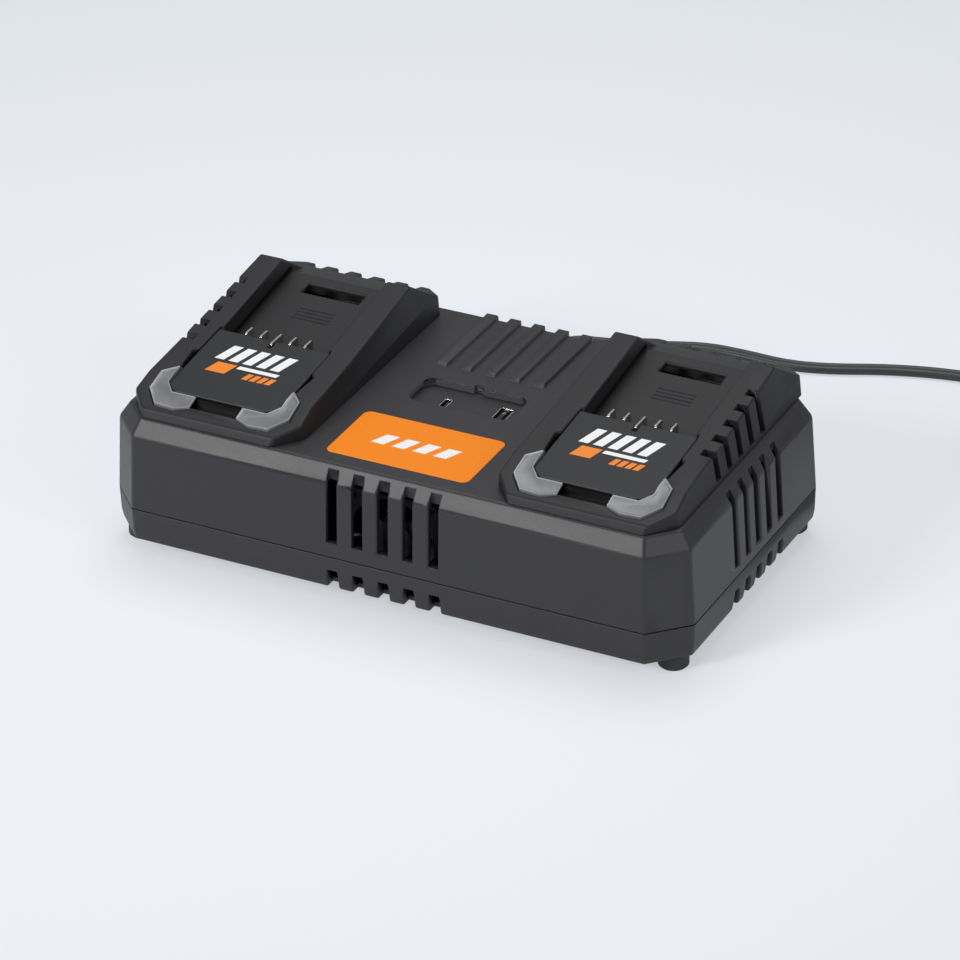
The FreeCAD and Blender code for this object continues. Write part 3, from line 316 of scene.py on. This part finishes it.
class Finish:
    """One surface finish: a Principled shader and the nodes that vary it."""

    def __init__(self, name, colour, rough, metal=0.0, gloss=0.5, coat=0.0):
        self.material = bpy.data.materials.new(name)
        self.material.use_nodes = True
        self.tree = self.material.node_tree
        self.tree.nodes.clear()
        self.shader = self.tree.nodes.new("ShaderNodeBsdfPrincipled")
        self.output = self.tree.nodes.new("ShaderNodeOutputMaterial")
        self.tree.links.new(self.shader.outputs[0], self.output.inputs[0])
        self.put("Base Color", (*colour, 1.0))
        self.put("Roughness", rough)
        self.put("Metallic", metal)
        self.put("Specular IOR Level", gloss)
        self.put("Coat Weight", coat)
        self.put("Coat Roughness", 0.25)
        self.place = self.node("ShaderNodeTexCoord", {}, [], "Object")

    def node(self, kind, settings, values, output=0):
        made = self.tree.nodes.new(kind)
        for name, value in settings.items():
            setattr(made, name, value)
        pairs = values.items() if isinstance(values, dict) else enumerate(values)
        for key, value in pairs:
            self.feed(made.inputs[key], value)
        return Amount(self, made.outputs[output])

    def feed(self, socket, value):
        if isinstance(value, Amount):
            self.tree.links.new(value.socket, socket)
        else:
            socket.default_value = value

    def put(self, name, value):
        self.feed(self.shader.inputs[name], value)

    def glow(self, colour, share):
        """Shows a share of the colour as it is, whatever light falls there."""
        light = self.tree.nodes.new("ShaderNodeEmission")
        blend = self.tree.nodes.new("ShaderNodeMixShader")
        self.feed(light.inputs["Color"], colour)
        self.feed(blend.inputs[0], share)
        self.tree.links.new(self.shader.outputs[0], blend.inputs[1])
        self.tree.links.new(light.outputs[0], blend.inputs[2])
        self.tree.links.new(blend.outputs[0], self.output.inputs[0])

    def axis(self, letter, origin=0.0):
        """One coordinate in millimetres, counted from origin."""
        parts = self.node("ShaderNodeSeparateXYZ", {}, [self.place], letter)
        return parts * (1 / MM) - origin

    def stretched(self, x, y, z):
        return self.node("ShaderNodeMapping", {}, {"Vector": self.place, "Scale": (x, y, z)})

    def noise(self, scale, detail=2.0, where=None):
        values = {"Vector": where or self.place, "Scale": scale, "Detail": detail}
        return self.node("ShaderNodeTexNoise", {}, values, "Fac")

    def mix(self, share, first, second):
        one = first if isinstance(first, Amount) else (*first, 1.0)
        two = second if isinstance(second, Amount) else (*second, 1.0)
        made = self.tree.nodes.new("ShaderNodeMix")
        made.data_type = "RGBA"
        self.feed(made.inputs["Factor"], share)
        self.feed(made.inputs[6], one)
        self.feed(made.inputs[7], two)
        return Amount(self, made.outputs[2])

    def rounded_normal(self, radius):
        return self.node("ShaderNodeBevel", {"samples": 6}, {"Radius": radius * MM})

    def edge_mask(self, radius, gain):
        """One at a corner of the piece and none on its flat faces."""
        soft = self.rounded_normal(radius)
        true = self.node("ShaderNodeNewGeometry", {}, [], "True Normal")
        match = self.node("ShaderNodeVectorMath", {"operation": "DOT_PRODUCT"}, [soft, true], "Value")
        return ((1 - match) * gain).held()

    def bump(self, height, depth, radius=None):
        values = {"Strength": 1.0, "Distance": depth * MM, "Height": height}
        if radius:
            values["Normal"] = self.rounded_normal(radius)
        self.put("Normal", self.node("ShaderNodeBump", {}, values))


def tint(colour, share):
    return tuple(channel * share for channel in colour)


def moulded_plastic(name, colour, rough=0.5, grain=1500.0, depth=0.035, edge=0.6, gloss=0.32):
    finish = Finish(name, colour, rough, gloss=gloss)
    cloud = finish.noise(38.0, 4.0)
    speck = finish.noise(grain, 3.0)
    # Lighter along the edges: partly wear, partly a painted highlight on the rounded edges.
    wear_and_edge_highlight = finish.edge_mask(edge * 1.3, 2.2) * (0.35 + 0.65 * finish.noise(420.0, 2.0))
    base = finish.mix(cloud, tint(colour, 0.88), tint(colour, 1.12))
    base = finish.mix(speck * 0.22, base, tint(colour, 1.7))
    finish.put("Base Color", finish.mix(wear_and_edge_highlight * 0.6, base, tint(colour, 2.8)))
    finish.put("Roughness", (rough - 0.05) + cloud * 0.06 + speck * 0.08)
    finish.bump(speck + finish.noise(grain * 0.4, 2.0) * 0.6, depth, edge)
    return finish


def bare_metal(name, colour, rough, along=(1.0, 1.0, 1.0), edge=0.15):
    finish = Finish(name, colour, rough, 1.0)
    lines = finish.noise(900.0, 3.0, finish.stretched(*along))
    finish.put("Base Color", finish.mix(lines * 0.5, tint(colour, 0.82), colour))
    finish.put("Roughness", (rough - 0.06) + lines * 0.16)
    finish.bump(lines, 0.008, edge)
    return finish


def soft_rubber(name, colour, rough=0.72):
    finish = Finish(name, colour, rough)
    dust = finish.noise(260.0, 4.0)
    finish.put("Base Color", finish.mix(dust * 0.5, colour, tint(colour, 1.8)))
    finish.put("Roughness", (rough - 0.08) + dust * 0.16)
    finish.bump(finish.noise(1900.0, 2.0), 0.03, 0.4)
    return finish


def sheath():
    colour = (0.022, 0.022, 0.024)
    finish = Finish("lead_sheath", colour, 0.42)
    wavy = finish.noise(90.0, 3.0)
    finish.put("Base Color", finish.mix(wavy, colour, tint(colour, 1.5)))
    finish.put("Roughness", 0.36 + wavy * 0.14)
    finish.bump(finish.noise(1400.0, 2.0), 0.015)
    return finish


def frosted_lens():
    finish = Finish("frosted_lens", (0.2, 0.2, 0.21), 0.3, coat=0.3)
    # Lighter towards the rim: a painted highlight along the lens's rounded edges.
    rim = finish.edge_mask(0.7, 5.0)
    cloud = finish.noise(150.0, 3.0)
    base = finish.mix(cloud, (0.075, 0.078, 0.085), (0.185, 0.19, 0.2))
    finish.put("Base Color", finish.mix(rim * 0.8, base, (0.42, 0.42, 0.44)))
    finish.put("Roughness", 0.26 + cloud * 0.16)
    finish.bump(finish.noise(700.0, 2.0), 0.02, 0.3)
    return finish


def slanted_bars(finish, across, along, start, end, low, high, pitch, share, slant):
    """A row of leaning bars between two ends, one where the print is."""
    leaning = across - (along - low) * slant
    row = along.between(low, high) * leaning.between(start, end)
    return row * (((leaning - start) / pitch).repeat() < share)


def printed_plate(name, middle_x):
    dark = (0.016, 0.0163, 0.017)
    finish = Finish(name, dark, 0.42, gloss=0.3)
    x = finish.axis("X", middle_x)
    y = finish.axis("Y")
    speck = finish.noise(1600.0, 2.0)
    white = slanted_bars(finish, x, y, -16.0, 13.4, -26.4, -16.6, 5.9, 0.66, 0.34)
    white = white + slanted_bars(finish, x, y, -4.6, 12.4, -30.2, -28.2, 30.0, 1.0, 0.34)
    orange = slanted_bars(finish, x, y, -15.6, -7.4, -34.8, -28.2, 30.0, 1.0, 0.34)
    orange = orange + slanted_bars(finish, x, y, 0.4, 12.4, -35.6, -31.6, 3.2, 0.72, 0.34)
    base = finish.mix(speck, tint(dark, 0.85), tint(dark, 1.3))
    base = finish.mix(orange.held(), base, (0.80, 0.22, 0.012))
    base = finish.mix(white.held(), base, (0.80, 0.80, 0.80))
    # Lighter along the plate's edges: partly wear, partly a painted highlight on the rounded edges.
    wear_and_edge_highlight = finish.edge_mask(0.7, 2.0)
    finish.put("Base Color", finish.mix(wear_and_edge_highlight * 0.4, base, (0.16, 0.16, 0.17)))
    finish.put("Roughness", 0.36 + speck * 0.1 + white.held() * 0.1)
    finish.bump(speck, 0.02, 0.4)
    return finish


def label_film():
    orange = (0.86, 0.235, 0.012)
    finish = Finish("label_film", orange, 0.45, gloss=0.12)
    middle = (label_low + label_high) / 2
    x = finish.axis("X", middle.x)
    y = finish.axis("Y", middle.y)
    grain = finish.noise(1200.0, 2.0)
    bars = slanted_bars(finish, x, y, -17.0, 16.0, -3.6, 3.6, 8.6, 0.62, 0.45)
    base = finish.mix(grain, tint(orange, 0.93), tint(orange, 1.05))
    finish.put("Base Color", finish.mix(bars, base, (0.82, 0.82, 0.81)))
    finish.put("Roughness", 0.36 + grain * 0.1)
    finish.bump(grain, 0.01, 0.2)
    return finish


def board_laminate():
    green = (0.012, 0.085, 0.035)
    finish = Finish("board_laminate", green, 0.35)
    tracks = finish.node("ShaderNodeTexBrick", {}, {"Vector": finish.place, "Scale": 160.0}, "Fac")
    fleck = finish.noise(600.0, 2.0)
    base = finish.mix(fleck, tint(green, 0.85), tint(green, 1.2))
    finish.put("Base Color", finish.mix(tracks * 0.5, base, (0.03, 0.19, 0.07)))
    finish.put("Roughness", 0.3 + fleck * 0.12)
    finish.bump(tracks, 0.03)
    return finish


def capacitor_can(name, sleeve, top):
    finish = Finish(name, sleeve, 0.3)
    lid = finish.axis("Z") > (top - 0.25)
    grain = finish.noise(300.0, 2.0)
    base = finish.mix(grain, tint(sleeve, 0.8), tint(sleeve, 1.3))
    finish.put("Base Color", finish.mix(lid, base, (0.72, 0.72, 0.73)))
    finish.put("Metallic", lid)
    finish.put("Roughness", 0.26 + grain * 0.12)
    return finish


def winding_tape():
    amber = (0.62, 0.36, 0.03)
    finish = Finish("winding_tape", amber, 0.3)
    layers = (finish.axis("Z") / 2.6).repeat()
    grain = finish.noise(400.0, 2.0)
    finish.put("Base Color", finish.mix(grain * 0.6 + (layers < 0.1) * 0.4, amber, tint(amber, 0.6)))
    finish.put("Roughness", 0.24 + grain * 0.16)
    finish.bump(layers, 0.05)
    return finish


def lamp_resin():
    finish = Finish("lamp_resin", (0.75, 0.72, 0.5), 0.25)
    grain = finish.noise(900.0, 2.0)
    finish.put("Base Color", finish.mix(grain, (0.7, 0.66, 0.42), (0.82, 0.8, 0.62)))
    finish.put("Roughness", 0.2 + grain * 0.1)
    return finish


def dress(piece, finish):
    if piece.data.materials:
        piece.data.materials.clear()
    piece.data.materials.append(finish.material)


def copy_of(node_name):
    """A merged copy of a CAD node, ready to be shaped further."""
    work = bmesh.new()
    work.from_mesh(nodes[node_name].data)
    bmesh.ops.remove_doubles(work, verts=work.verts, dist=merge_distance)
    bmesh.ops.dissolve_limit(work, angle_limit=math.radians(1.5), verts=work.verts, edges=work.edges)
    return work


def sharp_edges(work, least):
    return [edge for edge in work.edges
            if len(edge.link_faces) == 2 and edge.calc_face_angle(0.0) > math.radians(least)]


def round_edges(work, edges, radius, segments=3, clamp=True):
    bmesh.ops.bevel(work, geom=edges, offset=radius * MM, offset_type="OFFSET", segments=segments,
                    profile=0.5, affect="EDGES", clamp_overlap=clamp, material=-1)


def wide_enough(edge, radius):
    return all(face.calc_area() / edge.calc_length() > 2.2 * radius * MM for face in edge.link_faces)


def outer_edges(work, radius, least_length, where):
    """The convex edges in view that have room for a rounding of this radius."""
    chosen = []
    for edge in sharp_edges(work, 14):
        middle = (edge.verts[0].co + edge.verts[1].co) / 2 / MM
        if edge.is_convex and edge.calc_length() > least_length * MM and where(edge, middle):
            if wide_enough(edge, radius):
                chosen.append(edge)
    return chosen


def keep_flats_flat(piece):
    weighted = piece.modifiers.new("flat_faces", "WEIGHTED_NORMAL")
    weighted.mode = "FACE_AREA"
    weighted.weight = 100
    weighted.keep_sharp = True


def stand_in(work, piece_name, node_name, finish, flat=True):
    """A finished piece that is shown in place of a CAD node."""
    piece = finish_mesh(work, piece_name, flat_smooth_angle if flat else round_smooth_angle)
    if flat:
        keep_flats_flat(piece)
    dress(piece, finish)
    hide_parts(node_name)
    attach(piece, "charger")
    return piece


def make_top_shell():
    """The top housing with its moulded corners rounded."""
    work = copy_of("top_housing")

    def outside(edge, middle):
        outward = Vector((middle.x / housing_high.x, middle.y / housing_high.y, 0.6))
        faces_out = all(face.normal.dot(outward) > -0.1 for face in edge.link_faces)
        in_recess = abs(middle.x) < recess_half_x and recess_y[0] < middle.y < recess_y[1]
        return faces_out and middle.z > parting + 0.7 and not in_recess
    round_edges(work, outer_edges(work, housing_round, 3.0, outside), housing_round, 3, False)
    return stand_in(work, "top_shell", "top_housing", housing_finish)


def make_base_shell():
    """The bottom housing with its lower rim and its corners rounded."""
    work = copy_of("bottom_housing")

    def outside(edge, middle):
        return middle.z < underside + 0.5 or abs(edge.verts[0].co.z - edge.verts[1].co.z) > 3 * MM
    round_edges(work, outer_edges(work, housing_round, 3.0, outside), housing_round, 3, False)
    return stand_in(work, "base_shell", "bottom_housing", base_finish)


def cut_faces(work, faces, place, normal):
    """Splits these faces along a plane."""
    around = [part for face in faces for part in (*face.verts, *face.edges)]
    bmesh.ops.bisect_plane(work, geom=faces + list(dict.fromkeys(around)), plane_co=place, plane_no=normal,
                           dist=merge_distance)


def between_lenses(face, middle_x, front, back):
    return all(abs(vertex.co.x - middle_x) < mouth_half_length * MM
               and front - close * MM < vertex.co.y < back + close * MM for vertex in face.verts)


def open_nose(work, middle_x, plate_low):
    """Sinks the strip of nose between the lenses, so that the plate's lip overhangs it."""
    rear = plate_low.y + plate_play * MM
    front = plate_low.y - mouth_width * MM

    def nose_faces():
        return [face for face in work.faces if face.normal.z > 0.9 and face.normal.y < -0.2
                and front - 10 * MM < face.calc_center_median().y < rear]
    cut_faces(work, nose_faces(), (0, front, 0), (0, 1, 0))
    strip = [face for face in nose_faces() if between_lenses(face, middle_x, front, rear)]
    level = strip[0].calc_center_median()
    upright = strip[0].normal.copy()
    sunk = bmesh.ops.extrude_face_region(work, geom=strip)["geom"]
    floor = [part for part in sunk if isinstance(part, bmesh.types.BMVert)]
    bmesh.ops.translate(work, verts=floor, vec=(0, 0, -mouth_depth * MM))
    bmesh.ops.delete(work, geom=strip, context="FACES_ONLY")

    def wall_faces():
        return [face for face in work.faces if abs(face.normal.y) > 0.9
                and between_lenses(face, middle_x, plate_low.y - plate_play * MM, rear)]
    cut_faces(work, wall_faces(), (0, 0, plate_low.z), (0, 0, 1))
    above = [face for face in wall_faces() if face.calc_center_median().z > plate_low.z]
    bmesh.ops.delete(work, geom=above, context="FACES_ONLY")
    # The faces sunk below the nose take the second finish, a near-black painted shade for the inside of the
    # mouth.
    for face in work.faces:
        middle = face.calc_center_median()
        if between_lenses(face, middle_x, front, rear) and (middle - level).dot(upright) < -close * MM:
            face.material_index = 1


def make_dock_shell(side, middle_x):
    """A battery dock with rounded mouldings and the mouth in its nose, whose inside carries a near-black
    painted shade finish.
    """
    node_name = side + "_battery_dock"
    work = copy_of(node_name)
    open_nose(work, middle_x * MM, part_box(side + "_nose_plate")[0])

    def outside(edge, middle):
        slot_wall = any(abs(face.normal.y) > 0.9 for face in edge.link_faces)
        beside = abs(middle.x - middle_x) > side_slots_x and side_slots_y[0] < middle.y < side_slots_y[1]
        ceiling = any(face.normal.z < -0.3 for face in edge.link_faces)
        mouth = any(face.material_index == 1 for face in edge.link_faces)
        return middle.z > dock_low.z + 0.3 and not (slot_wall and beside) and not ceiling and not mouth
    round_edges(work, outer_edges(work, dock_round, 2.2, outside), dock_round, 3, False)
    shell = stand_in(work, side + "_dock_shell", node_name, dock_finish)
    shell.data.materials.append(mouth_shade_finish.material)
    return shell


def make_nose_plate(side, finish):
    """The plate with a thin rounded lip and a cut-back underside at its front."""
    node_name = side + "_nose_plate"
    work = copy_of(node_name)
    crown = max(work.faces, key=lambda face: face.calc_area() * (face.normal.z > 0.9))
    upright = crown.normal.copy()
    level = crown.calc_center_median() - upright * lip_thick * MM
    geometry = work.verts[:] + work.edges[:] + work.faces[:]
    bmesh.ops.bisect_plane(work, geom=geometry, plane_co=level, plane_no=upright, dist=merge_distance)
    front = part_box(node_name)[0].y
    low = [vertex for vertex in work.verts
           if (vertex.co - level).dot(upright) < -close * MM and vertex.co.y < front + lip_reach * MM]
    bmesh.ops.translate(work, verts=low, vec=(0, lip_cut_back * MM, 0))
    rim = [edge for edge in sharp_edges(work, 30)
           if any(face.normal.dot(upright) > 0.99 for face in edge.link_faces)]
    round_edges(work, rim, plate_round, 3, False)
    return stand_in(work, side + "_plate_cover", node_name, finish)


def make_lens(node_name):
    """A frosted light guide with a raised rim and a shallow dish inside it."""
    work = copy_of(node_name)
    crown = [face for face in work.faces if face.normal.z > 0.9]
    bmesh.ops.inset_region(work, faces=crown, thickness=lens_rim * MM, use_even_offset=True,
                           use_boundary=True)
    inner = {vertex for face in crown for vertex in face.verts}
    bmesh.ops.translate(work, verts=list(inner), vec=(0, 0, -lens_dish * MM))
    round_edges(work, sharp_edges(work, 20), lens_round)
    return stand_in(work, node_name + "_guide", node_name, lens_finish, False)


def make_plug():
    """A moulded plug body with rounded edges."""
    work = copy_of("mains_plug")
    round_edges(work, sharp_edges(work, 40), plug_round, 4)
    return stand_in(work, "plug_body", "mains_plug", sheath_finish, False)


def make_tie():
    """The strap, drawn down on the turns that it holds."""
    work = copy_of("coil_tie")
    middle = (tie_low.z + tie_high.z) / 2 * MM
    high_turn = tie_thick + table_rest + lead_thick + turn_play + lead_thick / 2 + tie_play
    drop = tie_high.z - tie_thick - high_turn
    upper = [vertex for vertex in work.verts if vertex.co.z > middle]
    bmesh.ops.translate(work, verts=upper, vec=(0, 0, -drop * MM))
    return stand_in(work, "lead_strap", "coil_tie", rubber_finish, False)


housing_finish = moulded_plastic("housing_plastic", (0.0184, 0.0177, 0.0200), 0.42, gloss=0.46)
base_finish = moulded_plastic("base_plastic", (0.0205, 0.0198, 0.0222), 0.44, gloss=0.44)
# Near-black painted shade for the inside of the docks' mouths.
mouth_shade_finish = moulded_plastic("mouth_painted_shade", (0.007, 0.007, 0.0075), 0.7, gloss=0.15)
dock_finish = moulded_plastic("dock_plastic", (0.0115, 0.0112, 0.0124), 0.5, gloss=0.34)
rubber_finish = soft_rubber("black_rubber", (0.020, 0.020, 0.021))
sheath_finish = sheath()
lens_finish = frosted_lens()
nickel = bare_metal("nickel_plate", (0.86, 0.83, 0.77), 0.22, (1.0, 1.0, 0.1))
zinc = bare_metal("zinc_steel", (0.62, 0.63, 0.65), 0.3)
aluminium = bare_metal("extruded_aluminium", (0.75, 0.76, 0.78), 0.32, (1.0, 0.05, 1.0))
black_resin = moulded_plastic("black_resin", (0.018, 0.018, 0.020), 0.45, 1200.0, 0.02, 0.3)
laminate = board_laminate()
ferrite = moulded_plastic("ferrite", (0.03, 0.03, 0.033), 0.6, 800.0, 0.04, 0.3)

finishes = {
    "top_housing": housing_finish, "bottom_housing": base_finish, "rubber_feet": rubber_finish,
    "strain_relief": rubber_finish, "deck_label": label_film(), "housing_screws": zinc, "dock_screws": zinc,
    "board_screws": zinc, "usb_board_screws": zinc, "usb_a_tongue": black_resin, "usb_c_tongue": black_resin,
    "usb_a_shell": nickel, "usb_c_shell": nickel, "plug_pins": nickel, "line_fuse": nickel,
    "main_board": laminate, "usb_board": laminate, "transformer_core": ferrite, "line_choke": ferrite,
    "transformer_winding": winding_tape(), "fan_frame": black_resin, "fan_rotor": black_resin,
    "bridge_rectifier": black_resin,
    "bulk_capacitors": capacitor_can("bulk_can", (0.02, 0.03, 0.07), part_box("bulk_capacitors")[1].z / MM),
    "output_capacitors": capacitor_can("output_can", (0.03, 0.02, 0.05),
                                       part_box("output_capacitors")[1].z / MM),
}
for side, sign in (("left", -1), ("right", 1)):
    finishes[side + "_battery_dock"] = dock_finish
    finishes[side + "_nose_plate"] = printed_plate(side + "_plate_print", sign * bay_x)
    finishes[side + "_terminal_block"] = black_resin
    finishes[side + "_terminal_blades"] = nickel
    finishes[side + "_lamp_board"] = laminate
    finishes[side + "_lamps"] = lamp_resin()
    finishes[side + "_heat_sink"] = aluminium
    finishes[side + "_power_transistors"] = black_resin
for node_name, finish in finishes.items():
    dress(nodes[node_name], finish)

make_top_shell()
make_base_shell()
for side, sign in (("left", -1), ("right", 1)):
    make_dock_shell(side, sign * bay_x)
    make_nose_plate(side, finishes[side + "_nose_plate"])
    for end in ("left", "right"):
        make_lens(side + "_dock_lens_" + end)
plug = make_plug()
strap = make_tie()

dress(lead, sheath_finish)
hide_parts("mains_lead", "lead_coil")
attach(lead, "charger")


def make_floor():
    work = bmesh.new()
    bmesh.ops.create_grid(work, x_segments=1, y_segments=1, size=6.0)
    floor = finish_mesh(work, "studio_floor")
    finish = Finish("studio_floor", (0.80, 0.81, 0.84), 0.9, gloss=0.0)
    far = finish.node("ShaderNodeVectorMath", {"operation": "LENGTH"}, [finish.place], "Value")
    # Darker and bluer away from the charger: a painted falloff of light on the paper.
    painted_falloff = ((far - 0.12) / 0.55).held()
    paper_with_painted_falloff = finish.mix(painted_falloff, (0.83, 0.85, 0.885), (0.71, 0.735, 0.79))
    finish.put("Base Color", paper_with_painted_falloff)
    seen = finish.node("ShaderNodeLightPath", {}, [], "Is Camera Ray")
    seen = seen + finish.node("ShaderNodeLightPath", {}, [], "Is Glossy Ray")
    seen = seen + finish.node("ShaderNodeLightPath", {}, [], "Is Transmission Ray")
    finish.glow(paper_with_painted_falloff, seen.held() * floor_glow)
    dress(floor, finish)


def make_lamp(name, place, target, size, power):
    data = bpy.data.lights.new(name, "AREA")
    data.shape = "DISK"
    data.size = size
    data.energy = power
    lamp = shown(bpy.data.objects.new(name, data))
    lamp.location = place
    lamp.rotation_euler = (Vector(target) - Vector(place)).to_track_quat("-Z", "Y").to_euler()
    return lamp


def make_light():
    world = bpy.data.worlds.new("studio")
    world.use_nodes = True
    back = world.node_tree.nodes["Background"]
    back.inputs["Color"].default_value = (0.93, 0.955, 1.0, 1.0)
    back.inputs["Strength"].default_value = 0.36
    bpy.context.scene.world = world
    make_lamp("key_softbox", place=(-0.76, -1.42, 0.98), target=(0, -0.05, 0.04), size=0.62, power=20.0)
    make_lamp("side_softbox", place=(1.5, -0.5, 0.9), target=(0, 0, 0.03), size=0.9, power=6.0)
    make_lamp("top_softbox", place=(-0.2, 0.6, 1.7), target=(0, 0, 0.03), size=1.2, power=14.0)


make_floor()
make_light()
bpy.context.scene.view_settings.view_transform = "Standard"
